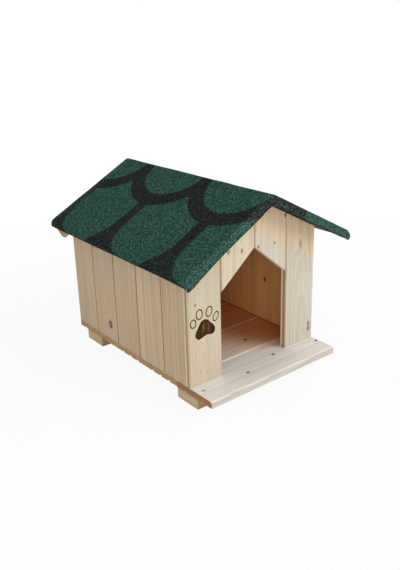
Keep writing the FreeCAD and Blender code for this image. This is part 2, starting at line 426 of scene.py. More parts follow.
@dataclass(frozen=True)
class BoardCut:
    """How one board was sawn from its log.

    The pith is the log's heart. Lean is how far the grain runs off the board's length, and taper how
    fast the log narrows, which draws its rings out into arches. The left edge is the grooved one.
    """

    lay: GrainLay
    seed: float
    pith_across: float
    pith_through: float
    lean: float
    tone: float
    warmth: float
    taper: float
    figure: float
    left_edge: float
    middle: float
    knots: tuple[Knot, ...] = ()
    joint: Union[JointTint, None] = None
    # Share of painted light on the board's narrow edges.
    pale_edges: float = 0.0

    @classmethod
    def from_log(cls, name: str, lay: GrainLay, **known: Any) -> "BoardCut":
        """Saws a board at a place in its log that is its own, the same at each run.

        Args:
            name: The board's node.
            lay: Directions of the board.
            known: Fields that the photograph or the joints settle.

        Returns:
            The board's cut.
        """
        low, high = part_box(name)
        middle = (low + high) / 2
        _, across, through = (Vector(way) for way in lay.value)
        log = random.Random(f"log of {name}")
        cut = {
            "seed": log.uniform(1, 40),
            "pith_across": middle.dot(across) + log.choice((-1, 1)) * log.uniform(0.012, 0.055),
            "pith_through": middle.dot(through) + log.choice((-1, 1)) * log.uniform(0.03, 0.075),
            "lean": log.uniform(-0.02, 0.02),
            "tone": log.uniform(0.97, 1.03),
            "warmth": log.uniform(0.1, 0.5),
            "taper": log.uniform(-0.03, 0.03),
            "figure": log.uniform(0.7, 1.0),
            "left_edge": low.dot(across),
            "middle": middle.dot(through),
        }
        return cls(lay=lay, **{**cut, **known})


class Grain(Enum):
    """Noises in a board: waves to the metre across, through and along it, seed and finer waves."""

    FIBRE = ((650, 650, 9), 3, 3)
    STREAK = ((120, 120, 1.8), 5, 3)
    PATCH = ((11, 11, 2.5), 7, 2)
    SWAY = ((5, 5, 1.5), 0, 2)
    DRIFT = ((4, 4, 1.1), 9.7, 2)
    WOBBLE = ((60, 60, 5), 2.9, 2)
    FADING = ((16, 16, 3), 21, 2)
    KNOT_RIM = ((420, 420, 300), 13, 2)

    def draw(self, sheet: NodeSheet, grain: Wire, cut: BoardCut) -> Wire:
        """Returns the noise in one board."""
        scales, seed, detail = self.value
        return sheet.noise(grain, scales, cut.seed + seed, detail)


@dataclass(frozen=True)
class Cabin:
    """The room inside the walls, as a board's material finds it.

    The painted gloom of the closed house ends between two heights. Its painted daylight reaches further in
    on the left, by the slant, as a painted shadow of the doorway's right side. Painted warm light under the
    roof ends between the two distances of fresh below it. Soft is the width over which one place goes over
    into the next.
    """

    wall: float = 0.171
    half_width: float = 0.157
    front: float = -0.17865
    back: float = 0.22735
    floor: float = 0.042
    gloom: Reading = (0.3, 0.23)
    slant: float = 1.5
    daylight: float = 0.265
    # Width of the painted shade in the corners between the floor and the sides.
    corner_shade: float = 0.004
    fresh: Reading = (0.1, 0.03)
    soft: float = 0.001

    def inside(self, sheet: NodeSheet, place: Wire) -> tuple[Wire, Wire]:
        """Finds the faces inside the house, which only see light off other warm boards, for the painted
        indoor shade.

        Args:
            sheet: The material that is being written.
            place: Place on the piece.

        Returns:
            The share of the painted indoor shade, which on level faces grows with the way in from the
            doorway, and the share of the painted corner shade where the floor meets the sides.
        """
        x, y, z = sheet.split(place)
        side, soft = abs(x), self.soft
        level = abs(sheet.facing((0, 0, 1))).step(*LEVEL_FACE)
        within = side.step(self.half_width + 2 * soft, self.half_width + soft)
        within = within * y.step(self.front - 1.5 * soft, self.front)
        within = within * y.step(self.back + 2 * soft, self.back + soft)
        within = within * z.step(self.floor - 4 * soft, self.floor - soft) * z.step(*self.gloom)
        # Painted shadow of the doorway's right side: on level faces the painted indoor shade deepens from the
        # doorway, further in on the left.
        deep = (y + x * self.slant).step(self.front, self.front + self.daylight)
        # Painted shade where the floor meets the sides.
        beside = side.step(self.half_width - self.corner_shade, self.half_width - soft / 2)
        beneath = z.step(self.floor + self.corner_shade, self.floor + soft / 2)
        corner_shade = beside * level + beneath * (1 - level)
        return within * sheet.math("MAXIMUM", deep, 1 - level), within * corner_shade

    def outside(self, sheet: NodeSheet, place: Wire) -> Wire:
        """Finds what lies outside the walls' outline, where the painted eave shade goes.

        Args:
            sheet: The material that is being written.
            place: Place on the piece.

        Returns:
            1 outside it and 0 within it.
        """
        x, y, _ = sheet.split(place)
        sides = abs(x).step(self.wall - 4 * self.soft, self.wall)
        return sheet.math("MAXIMUM", sides, y.step(FRONT_FACE + 4 * self.soft, FRONT_FACE))

    def under_roof(self, sheet: NodeSheet, place: Wire) -> Wire:
        """Finds the front's strip under the roof, which gets painted warm light.

        Args:
            sheet: The material that is being written.
            place: Place on the piece.

        Returns:
            1 on the strip, fading to 0 below it.
        """
        x, y, z = sheet.split(place)
        below = WALL_PEAK - abs(x) * math.tan(ROOF_PITCH) - z
        return below.step(*self.fresh) * y.step(FRONT_FACE + 3 * self.soft, FRONT_FACE + self.soft)


CABIN = Cabin()


@dataclass(frozen=True)
class PineFinish:
    """Planed, unvarnished pine: growth rings, fibre, knots, end grain and sheltered faces.

    Attributes:
        early: Colour of the pale spring wood, as late is that of the darker summer wood.
        heart: Change of colour along warm streaks.
        indoor_shade: Painted shade inside the house, a warm dark change of colour where light only comes off
            other warm boards.
        edge: Paler colour of a board's narrow edges, painted light where they lie in shade.
        corner_shade: Painted shade in the corner between the floor and a side.
        eave_shade: Painted shade outside the walls, on the roof boards under the eaves.
        fresh: Painted light just under the roof, a warm lift of the colour in the roof's shade.
        nose_shade: Painted shade on an edge that looks to the front.
        contrast: Strength of the rings.
        sway: How far the rings wander.
        wobble: How uneven a ring's line is.
        large_knot: Radius above which a knot shows its own rings.
        groove_width: Distances from the edge at which the groove begins and ends.
    """

    early: Colour
    late: Colour
    heart: Colour
    end_grain: Colour
    # Painted indoor shade: a warm, dark change of colour inside the house.
    indoor_shade: Colour = (0.98, 0.63, 0.34)
    knot: Colour = (0.11, 0.045, 0.015)
    knot_eye: Colour = (0.36, 0.2, 0.085)
    edge: Colour = (0.9, 0.76, 0.57)
    # Warmer colour in the groove: a painted warm cast in its shade.
    groove: Colour = (1.1, 0.93, 0.66)
    corner_shade: Colour = (0.62, 0.5, 0.38)
    eave_shade: Union[Colour, None] = None
    fresh: Union[Colour, None] = None
    nose_shade: Union[Colour, None] = None
    contrast: float = 0.85
    streaks: float = 0.3
    fibres: float = 0.2
    patches: float = 0.16
    ring_pitch: float = 0.0042
    sway: float = 0.032
    wobble: float = 0.0016
    large_knot: float = 0.004
    groove_width: Reading = (0.0004, 0.0085)
    groove_half: float = 0.0043
    relief: float = 0.00022

    def dress(self, piece: bpy.types.Object, cut: BoardCut) -> None:
        """Gives a board its own material.

        Args:
            piece: The board.
            cut: How it was sawn.
        """
        sheet = NodeSheet.material(f"pine_{piece.name}")
        place = sheet.place()
        along, across, through = (sheet.dot(place, way) for way in cut.lay.value)
        grain = sheet.combine(across, through, along)
        end = abs(sheet.facing(cut.lay.value[0])).step(*END_FACE)
        sawn = abs(sheet.facing(cut.lay.value[2])).step(*SAWN_EDGE)
        swell, core, eye, halo = self.branches(sheet, cut, grain)
        late = self.rings(sheet, cut, grain, swell)
        fibre, streak, patch = (
            kind.draw(sheet, grain, cut) for kind in (Grain.FIBRE, Grain.STREAK, Grain.PATCH)
        )
        inside, corner_shade = CABIN.inside(sheet, place)

        # The rings are fainter under the painted indoor shade.
        shown = late * (self.contrast + end * 0.3) * (1 - inside * 0.45)
        colour = sheet.mix(shown, self.early, self.late)
        warm = (streak.step(0.42, 0.72) * 0.7 + patch.step(0.35, 0.75) * 0.5) * cut.warmth
        colour = sheet.tint(warm, colour, self.heart)
        shade = (fibre - 0.5) * self.fibres + (streak - 0.5) * self.streaks + (patch - 0.5) * self.patches
        colour = sheet.scale(colour, shade + cut.tone)
        colour = sheet.tint(end * 0.96, colour, self.end_grain)
        # Painted light on the board's narrow edges.
        colour = sheet.mix(sawn * cut.pale_edges, colour, self.edge)
        colour = sheet.mix(halo * 0.45, colour, self.knot_eye)
        colour = sheet.mix(core, colour, sheet.mix(eye, self.knot, self.knot_eye))
        if cut.joint is not None:
            # Painted warm cast in the groove's shade.
            groove = self.in_groove(across - cut.left_edge, abs(through - cut.middle))
            colour = sheet.tint(groove, colour, self.groove)
            gap = cut.joint.line(across) * (1 - sawn) * (1 - inside * (1 - cut.joint.indoors))
            colour = sheet.tint(gap, colour, cut.joint.colour)
            # Less painted indoor shade on joints that show indoors, part of their painted highlight.
            inside = inside * (1 - gap * cut.joint.indoors * 0.15)
        # Painted indoor shade.
        colour = sheet.tint(inside, colour, self.indoor_shade)
        # Painted shade in the corners between the floor and the sides.
        colour = sheet.tint(corner_shade, colour, self.corner_shade)
        # Painted shade under the eaves, outside the walls.
        if self.eave_shade is not None:
            colour = sheet.tint(CABIN.outside(sheet, place), colour, self.eave_shade)
        # Painted warm light in the roof's shade, just under the roof.
        if self.fresh is not None:
            colour = sheet.tint(CABIN.under_roof(sheet, place), colour, self.fresh)
        # Painted shade on the faces that look to the front.
        if self.nose_shade is not None:
            front = sheet.facing((0, -1, 0), "Normal").step(*NOSE_SHADE_FACING)
            colour = sheet.tint(front, colour, self.nose_shade)
        rough = (fibre - 0.5) * 0.24 + 0.66 - late * 0.08 - core * 0.14 + end * 0.1
        height = late * 0.4 + fibre * 0.45 + core * 0.3
        feeds = {"Base Color": colour, "Roughness": rough, "Specular IOR Level": 0.16}
        sheet.surface(feeds, height, self.relief)
        piece.data.materials.clear()
        sheet.put_on(piece)

    def in_groove(self, inward: Wire, off_middle: Wire) -> Wire:
        """Finds the groove of a board's edge.

        Args:
            inward: Distance from the edge.
            off_middle: Distance from the middle of the thickness.

        Returns:
            1 in the groove and 0 beside it.
        """
        start, stop = self.groove_width
        wide = inward.step(start, start + 0.0008) * inward.step(stop, stop - 0.0007)
        return wide * off_middle.step(self.groove_half, self.groove_half - 0.0002)

    def rings(self, sheet: NodeSheet, cut: BoardCut, grain: Wire, swell: Feed) -> Wire:
        """Cuts the log's growth rings where the board lies.

        Args:
            sheet: The material that is being written.
            cut: How the board was sawn.
            grain: Place across, through and along the board.
            swell: How far knots push the rings out.

        Returns:
            The share of summer wood.
        """
        across, through, along = sheet.split(grain)
        sway, drift, wobble = (
            kind.draw(sheet, grain, cut) - 0.5 for kind in (Grain.SWAY, Grain.DRIFT, Grain.WOBBLE)
        )
        side = across - cut.pith_across - along * cut.lean + sway * self.sway
        deep = through - cut.pith_through + drift * self.sway
        radius = side.hypot(deep) + along * cut.taper + swell + wobble * self.wobble
        uneven = sheet.noise(sheet.combine(radius, 0.0, 0.0), (95, 1, 1), cut.seed, 1)
        phase = radius / self.ring_pitch + uneven * 3.0
        ring = phase.fract()
        share = ring.step(*SUMMER) - ring.step(*AUTUMN)
        year = sheet.math("FLOOR", phase) + cut.seed
        strong = sheet.put("ShaderNodeTexWhiteNoise", {"W": year}, noise_dimensions="1D")
        faded = Grain.FADING.draw(sheet, grain, cut).step(0.3, 0.7)
        return share * (strong * 0.7 + 0.3) * (faded * 0.6 + 0.4) * cut.figure

    def branches(self, sheet: NodeSheet, cut: BoardCut, grain: Wire) -> tuple[Feed, Feed, Feed, Feed]:
        """Draws the board's knots.

        Args:
            sheet: The material that is being written.
            cut: How the board was sawn.
            grain: Place across, through and along the board.

        Returns:
            How far the rings are pushed out, and the shares of knot, of its paler middle, and of
            stained wood round it.
        """
        across, _, along = sheet.split(grain)
        swell: Feed = 0.0
        core = eye = halo = sheet.math("MULTIPLY", 0.0, 0.0)
        rim = Grain.KNOT_RIM.draw(sheet, grain, cut) - 0.5
        for knot in cut.knots:
            up = (along - knot.along) / knot.stretch
            reach = up.hypot(across - knot.across) / knot.radius + rim * 0.7
            swell = reach.step(4.5, 0.0) * knot.radius * 1.2 + swell
            core = reach.step(1.15, 0.9) * knot.depth + core
            halo = reach.step(2.2, 0.9) * knot.depth + halo
            if knot.radius > self.large_knot:
                ring = (reach * 2.4).fract().step(0.45, 0.9) * 0.35
                eye = reach.step(0.7, 0.35) * (1 - ring) + eye
        return swell, core, eye, halo


@dataclass(frozen=True)
class BradFinish:
    """Bright wire with a dull, slightly uneven skin; spots and scratches are waves to the metre."""

    steel: Colour = (0.42, 0.4, 0.37)
    dull: Colour = (0.2, 0.17, 0.14)
    spots: float = 900
    scratches: float = 2600
    relief: float = 0.00006

    def dress(self, piece: bpy.types.Object) -> None:
        """Gives a group of brads its material.

        Args:
            piece: The group.
        """
        sheet = NodeSheet.material(f"wire_{piece.name}")
        place = sheet.place()
        spot = sheet.even_noise(place, self.spots, 3.0, 3)
        colour = sheet.mix(spot.step(0.4, 0.65), self.steel, self.dull)
        feeds = {"Base Color": colour, "Roughness": spot * 0.35 + 0.25, "Metallic": 0.85}
        sheet.surface(feeds, sheet.even_noise(place, self.scratches, 8.0, 1), self.relief)
        piece.data.materials.clear()
        sheet.put_on(piece)


@dataclass(frozen=True)
class FeltFinish:
    """Mineral granules pressed into bitumen, in scalloped tabs of green on black.

    A black band goes round each tab's end. Granules are rubbed pale where the verge folds begin, lost
    along a cut edge, where the bare band is also painted shade under the fold, and stray green ones get
    fewer up the slope. Clumps and mat are waves to the metre.
    A course is how far up the slope its circles lie, and where one of them is.
    """

    green: Colour = (0.017, 0.06, 0.043)
    pale_green: Colour = (0.052, 0.14, 0.105)
    black: Colour = (0.0105, 0.0135, 0.0135)
    pale_black: Colour = (0.03, 0.035, 0.034)
    bitumen: Colour = (0.012, 0.011, 0.008)
    rubbed: Colour = (0.16, 0.215, 0.22)
    spacing: float = 0.206
    tab_radius: float = 0.089
    band_radius: float = 0.124
    edge: float = 0.0003
    grain: float = 0.00135
    clumps: float = 420
    mat: float = 900
    bare_and_shaded_edge: float = 0.0032
    verges: Reading = (0.236, 0.2425)
    spill: Reading = (0.075, 0.03)
    relief: float = 0.0007
    courses: tuple[Reading, ...] = ((0.072, -0.059), (0.254, 0.048), (0.436, -0.059))

    def dress(self, piece: bpy.types.Object) -> None:
        """Gives the felt its granules on the outside and bare bitumen on the inside."""
        self.granules().put_on(piece)
        self.back().put_on(piece)

    def granules(self) -> NodeSheet:
        """Makes the granule face.

        Returns:
            The material of the outer side.
        """
        sheet = NodeSheet.material("felt_granules")
        place = sheet.place()
        up, run, rim = sheet.split(sheet.put("ShaderNodeAttribute", {}, "Vector", attribute_name=FELT_LAY))
        far = sheet.put("ShaderNodeTexVoronoi", {"Vector": place, "Scale": 1 / self.grain}, "Distance")
        fleck, stray, _ = sheet.split(sheet.other(far, "Color"))
        clump = sheet.even_noise(place, self.clumps, 5.0)
        ragged = (fleck - 0.5) * 0.0022 + (clump - 0.5) * 0.002
        tab = self.tabs(sheet, up, run, ragged)
        spill = (up.step(*self.spill) * 0.3 + 0.02) * clump.step(0.5, 0.62)
        tab = sheet.math("MAXIMUM", tab, (spill - stray).step(-0.01, 0.01))
        tab = tab * (1 - (stray - 0.035).step(0.01, -0.01))
        glint = (fleck * 0.9 + clump * 0.1).step(0.35, 1.05)
        green = sheet.mix(glint, self.green, self.pale_green)
        black = sheet.mix(glint, self.black, self.pale_black)
        shade = (fleck - 0.5) * 1.5 + (clump - 0.5) * 0.1 + 0.95
        colour = sheet.scale(sheet.mix(tab, black, green), shade)
        verge = abs(sheet.dot(place, (0, 1, 0))).step(*self.verges)
        colour = sheet.mix(verge * stray.step(0.78, 0.82) * 0.4, colour, self.rubbed)
        # Bare bitumen along the cut edge, partly painted shade under the folds.
        bare = (rim + ragged * 0.4).step(self.bare_and_shaded_edge, self.bare_and_shaded_edge * 0.4)
        colour = sheet.mix(bare, colour, self.bitumen)
        height = (1 - far) * 0.75 + fleck * 0.5
        feeds = {"Base Color": colour, "Roughness": fleck * 0.2 + 0.78, "Specular IOR Level": 0.04}
        sheet.surface(feeds, height, self.relief)
        return sheet

    def tabs(self, sheet: NodeSheet, up: Wire, run: Wire, ragged: Wire) -> Wire:
        """Lays the courses over each other, from the eave up.

        Args:
            sheet: The material that is being written.
            up: Distance up the slope and over the ridge.
            run: Distance along the sheet.
            ragged: Unevenness of the pattern's edges.

        Returns:
            1 on a green tab and 0 on black.
        """
        tab: Feed = 0.0
        for centre, start in self.courses:
            side = (run - start).off_beat(self.spacing)
            drop = sheet.math("MAXIMUM", centre - up, 0.0)
            reach = side.hypot(drop) + ragged
            band = reach.step(self.band_radius + self.edge, self.band_radius - self.edge)
            green = reach.step(self.tab_radius + self.edge, self.tab_radius - self.edge)
            tab = (1 - band) * tab + green
        return tab

    def back(self) -> NodeSheet:
        """Makes the bare back and cut edge.

        Returns:
            The material of the inner side.
        """
        sheet = NodeSheet.material("felt_back")
        mat = sheet.even_noise(sheet.place(), self.mat, 2.0, 3)
        colour = sheet.mix(mat, self.bitumen, self.pale_black)
        sheet.surface({"Base Color": colour, "Roughness": mat * 0.3 + 0.6}, mat, 0.0004)
        return sheet


@dataclass(frozen=True)
class BurnFinish:
    """Engraving burnt into a board, darkest where it is deepest.

    It begins at the skin's depth, and ends between two depths, where the board's own hollows begin.
    Streaks and patches are waves to the metre.
    """

    char: Colour = (0.04, 0.017, 0.006)
    scorch: Colour = (0.15, 0.07, 0.03)
    rim: Colour = (0.12, 0.075, 0.025)
    gloss: float = 0.05
    skin: float = 0.0002
    full: float = 0.0009
    end: Reading = (0.003, 0.0025)
    left_end: float = -0.1695
    streaks: Place = (330, 330, 26)
    patches: Place = (140, 140, 60)
    bare: Reading = (0.56, 0.8)

    def dress(self, piece: bpy.types.Object, face: float) -> None:
        """Burns the cuts of a board that already has its pine.

        Args:
            piece: The board.
            face: Where its uncut face lies on Y.
        """
        sheet = NodeSheet(piece.data.materials[0], fresh=False)
        shader = next(node for node in sheet.tree.nodes if node.type == "BSDF_PRINCIPLED")
        shader.inputs["Specular IOR Level"].default_value = self.gloss
        socket = shader.inputs["Base Color"]
        pine = Wire(sheet, socket.links[0].from_socket)
        place = sheet.place()
        x, y, _ = sheet.split(place)
        depth = y - face
        cut = depth.step(self.skin, self.skin * 2) * depth.step(*self.end)
        cut = cut * x.step(self.left_end, self.left_end + 0.0005)
        streak = sheet.noise(place, self.streaks, 4.0, 3)
        patch = sheet.noise(place, self.patches, 6.0)
        bare = (streak * 0.6 + patch * 0.6).step(*self.bare)
        deepest = sheet.mix(bare, self.char, self.scorch)
        burnt = sheet.mix(depth.step(self.skin, self.full), self.rim, deepest)
        sheet.tree.links.new(sheet.mix(cut, pine, burnt).socket, socket)


FRONT_JOINTS = JointTint(0.0, 0.088, (0.86, 0.66, 0.45))
SIDE_JOINTS = JointTint(-0.01865, 0.088, (0.66, 0.51, 0.34))
# Painted highlight: the floor joints' bevels are lighter than the boards, inside the house too.
FLOOR_JOINT_HIGHLIGHTS = JointTint(-0.03465, 0.114, (1.15, 1.26, 1.36), indoors=1.0)

WALL_PINE = PineFinish(
    early=(0.69, 0.6, 0.45), late=(0.53, 0.42, 0.27), heart=(1.0, 0.88, 0.74),
    end_grain=(0.95, 0.82, 0.65), indoor_shade=(1.0, 0.7, 0.42), contrast=0.75,
)
# The sunny boards are paler, and just under the roof they get painted warm light.
BLEACHED_PINE = replace(
    WALL_PINE, early=(0.645, 0.588, 0.486), late=(0.495, 0.41, 0.29), knot_eye=(0.34, 0.205, 0.11),
    fresh=(1.27, 1.08, 0.87),
)
# A warmer, darker copy of the front's pine, with painted warm shade, for the sides, the back and the feet.
SHADE_WARMED_PINE = PineFinish(
    early=(0.62, 0.485, 0.33), late=(0.37, 0.25, 0.135), heart=(1.0, 0.88, 0.75),
    end_grain=(0.8, 0.52, 0.3), indoor_shade=(1.2, 0.82, 0.43), streaks=0.5, contrast=1.0,
)
FOOT_PINE = replace(SHADE_WARMED_PINE, end_grain=(0.74, 0.6, 0.5))
# Paler and greyer than the floor inside: painted cool light from above on the porch's top.
TOP_LIT_PORCH_PINE = PineFinish(
    early=(0.85, 0.825, 0.775), late=(0.63, 0.56, 0.47), heart=(1.0, 0.92, 0.85),
    end_grain=(0.4, 0.19, 0.06), indoor_shade=(1.1, 0.84, 0.47), streaks=0.55, contrast=0.75,
    nose_shade=(0.64, 0.62, 0.58),
)
FLOOR_PINE = PineFinish(
    early=(0.8, 0.7, 0.575), late=(0.6, 0.47, 0.33), heart=(1.0, 0.9, 0.8),
    end_grain=(0.57, 0.4, 0.22), indoor_shade=(0.86, 0.41, 0.183), streaks=0.5, contrast=0.75,
)
BATTEN_PINE = PineFinish(
    early=(0.62, 0.51, 0.36), late=(0.45, 0.32, 0.19), heart=(1.0, 0.86, 0.7), end_grain=(0.75, 0.45, 0.2),
)
# Roof boards: their end grain is darkened as painted shade below the felt's edge, and outside the walls they
# get painted eave shade.
DECK_PINE = PineFinish(
    early=(0.72, 0.57, 0.4), late=(0.5, 0.36, 0.22), heart=(1.0, 0.86, 0.7), end_grain=(0.2, 0.13, 0.08),
    eave_shade=(0.1, 0.075, 0.055),
)


@dataclass
class PineAssembly:
    """Boards of one sub-assembly, eased at their arrises and dressed in pine.

    Cuts are the fields of a board's cut that the photograph settles, by the board's node.
    """

    finish: PineFinish
    cuts: Cuts = field(default_factory=dict)
    eased_edge: float = 0.0006

    def ease_edges(self, piece: bpy.types.Object) -> None:
        """Breaks a board's sharp arrises, as sanding does, without changing its own mesh.

        Args:
            piece: The board.
        """
        modify(piece, "join_faces", "WELD", merge_threshold=WELD_GAP)
        modify(
            piece, "eased_edges", "BEVEL", width=self.eased_edge, segments=2, limit_method="ANGLE",
            angle_limit=math.radians(30), miter_outer="MITER_ARC",
        )
        modify(piece, "flat_faces", "WEIGHTED_NORMAL", keep_sharp=False, weight=100)

    def board(self, name: str, lay: GrainLay, finish: Union[PineFinish, None] = None, **known: Any) -> None:
        """Eases and dresses one board.

        Args:
            name: The board's node.
            lay: Directions of the board.
            finish: Its own finish, if it isn't the assembly's.
            known: Fields of its cut that it shares with others.
        """
        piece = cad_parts[name]
        self.ease_edges(piece)
        cut = BoardCut.from_log(name, lay, **{**known, **self.cuts.get(name, {})})
        (finish or self.finish).dress(piece, cut)
        LOG.info("dressed %s", name)


@dataclass
class GableWalls(PineAssembly):
    """Front and back walls; the front's sunny boards are bleached."""

    finish: PineFinish = WALL_PINE
    bleached: PineFinish = BLEACHED_PINE
    sunny: tuple[str, ...] = ("mid_right", "right")
    back: PineFinish = SHADE_WARMED_PINE
    # Share of painted light on the front boards' narrow edges.
    sawn: float = 0.85
    cuts: Cuts = field(
        default_factory=lambda: {
            # Its narrow edges get a little painted light.
            "front_board_left": {
                "pith_across": -0.128, "pith_through": -0.178, "lean": 0.0, "taper": 0.024, "tone": 0.87,
                "pale_edges": 0.25, "knots": (Knot(0.2136, -0.1521, 0.0016, 1.2, 0.8),),
            },
            "front_board_mid_left": {
                "tone": 1.0,
                "knots": (Knot(0.3, -0.0683, 0.0034, 1.4, 0.55), Knot(0.294, -0.0341, 0.0028, 1.6, 0.6)),
            },
            "front_board_mid_right": {
                "tone": 1.0,
                "knots": (
                    Knot(0.2907, 0.054, 0.0019, 1.2, 0.85), Knot(0.2925, 0.009, 0.0022, 1.1, 0.85),
                    Knot(0.3428, 0.0838, 0.0022, 1.6, 1.0),
                ),
            },
            "front_board_right": {
                "tone": 0.92, "warmth": 0.0,
                "knots": (
                    Knot(0.2708, 0.1303, 0.004, 2.1, 0.38), Knot(0.0792, 0.1602, 0.0039, 1.2, 0.5),
                    Knot(0.0668, 0.1606, 0.0039, 1.3, 0.6),
                ),
            },
        }
    )

    def build(self) -> None:
        """Dresses both gables."""
        lay = GrainLay.FRONT_WALL
        for part in ("left", "mid_left", "mid_right", "right"):
            finish = self.bleached if part in self.sunny else self.finish
            self.board(f"front_board_{part}", lay, finish, joint=FRONT_JOINTS, pale_edges=self.sawn)
            self.board(f"back_board_{part}", lay, self.back, joint=FRONT_JOINTS)


@dataclass
class SideWalls(PineAssembly):
    """Left and right walls."""

    finish: PineFinish = SHADE_WARMED_PINE
    cuts: Cuts = field(
        default_factory=lambda: {
            "left_board_front": {"pith_across": -0.096, "pith_through": -0.15, "taper": 0.01, "figure": 1.0},
            "left_board_mid_1": {"pith_across": -0.03, "pith_through": -0.11, "figure": 0.6},
            "left_board_mid_2": {"pith_across": 0.12, "pith_through": -0.15, "taper": 0.0, "figure": 0.95},
            "left_board_mid_3": {
                "pith_across": 0.111, "pith_through": -0.14, "taper": -0.03, "figure": 0.75,
                "knots": (Knot(0.0784, 0.0974, 0.0066, 1.2, 1.0), Knot(0.2507, 0.1494, 0.0016, 1.6, 0.9)),
            },
            "left_board_rear": {"pith_across": 0.15, "pith_through": -0.12, "figure": 0.7},
            "right_board_mid_1": {"knots": (Knot(0.1451, -0.0576, 0.0038, 1.5, 0.85),)},
        }
    )

    def build(self) -> None:
        """Dresses both sides."""
        for side in SIDES:
            for part in ("front", "mid_1", "mid_2", "mid_3", "rear"):
                self.board(f"{side}_board_{part}", GrainLay.SIDE_WALL, joint=SIDE_JOINTS)


@dataclass
class FloorAndFeet(PineAssembly):
    """Porch board, floor boards and foot blocks."""

    finish: PineFinish = FLOOR_PINE
    porch: PineFinish = TOP_LIT_PORCH_PINE
    feet: PineFinish = FOOT_PINE
    cuts: Cuts = field(
        default_factory=lambda: {
            "porch_board": {
                "knots": (
                    Knot(-0.1553, -0.2147, 0.0022, 1.6, 0.7), Knot(-0.0427, -0.2182, 0.0023, 1.5, 1.0),
                    Knot(0.0496, -0.1962, 0.0026, 1.4, 1.0), Knot(0.1667, -0.2119, 0.0026, 1.4, 1.0),
                ),
            },
            "floor_board_1": {"knots": (Knot(0.0519, -0.1055, 0.0028, 1.4, 1.0),)},
        }
    )

    def build(self) -> None:
        """Dresses the floor and what it stands on."""
        self.board("porch_board", GrainLay.FLOOR, self.porch, joint=FLOOR_JOINT_HIGHLIGHTS)
        for number in range(1, 5):
            self.board(f"floor_board_{number}", GrainLay.FLOOR, joint=FLOOR_JOINT_HIGHLIGHTS)
        for corner in CORNERS:
            self.board(f"foot_{corner}", GrainLay.RUNNER, self.feet)


@dataclass
class InnerFrame(PineAssembly):
    """Corner posts and wall rails."""

    finish: PineFinish = BATTEN_PINE

    def build(self) -> None:
        """Dresses the frame inside the walls."""
        for corner in CORNERS:
            self.board(f"post_{corner}", GrainLay.FRONT_WALL)
        for side in SIDES:
            self.board(f"wall_rail_{side}", GrainLay.RUNNER)


@dataclass
class RoofDeck(PineAssembly):
    """Roof boards and the battens that carry them."""

    finish: PineFinish = DECK_PINE
    battens: PineFinish = BATTEN_PINE

    def build(self) -> None:
        """Dresses the roof's timber."""
        for side in SIDES:
            for row in (1, 2, 3):
                self.board(f"roof_board_{side}_{row}", GrainLay.RUNNER)
        for end in ("front", "rear"):
            self.board(f"roof_batten_{end}_left", GrainLay.LEFT_RAFTER, self.battens)
            self.board(f"roof_batten_{end}_right", GrainLay.RIGHT_RAFTER, self.battens)


@dataclass
class Brads:
    """Wire brads in the walls, the roof and the feet."""

    finish: BradFinish = BradFinish()
    groups: tuple[str, ...] = ("wall_brads", "deck_brads", "foot_brads")

    def build(self) -> None:
        """Dresses the brads."""
        for name in self.groups:
            self.finish.dress(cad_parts[name])
            LOG.info("dressed %s", name)


@dataclass(frozen=True)
class Toe:
    """One ring of the paw mark: its centre, half sizes and the lean of its top to the right."""

    x: float
    z: float
    half_width: float
    half_height: float
    lean: float = 0.0

    def outline(self, count: int) -> list[Vector]:
        """Draws the ring's middle line on the board's face.

        Args:
            count: Number of points.

        Returns:
            The points.
        """
        lean = math.radians(self.lean)
        points = []
        for step in range(count):
            turn = 2 * math.pi * step / count
            wide = self.half_width * math.cos(turn)
            tall = self.half_height * math.sin(turn)
            x = wide * math.cos(lean) + tall * math.sin(lean)
            z = tall * math.cos(lean) - wide * math.sin(lean)
            points.append(Vector((self.x + x, FRONT_FACE, self.z + z)))
        return points


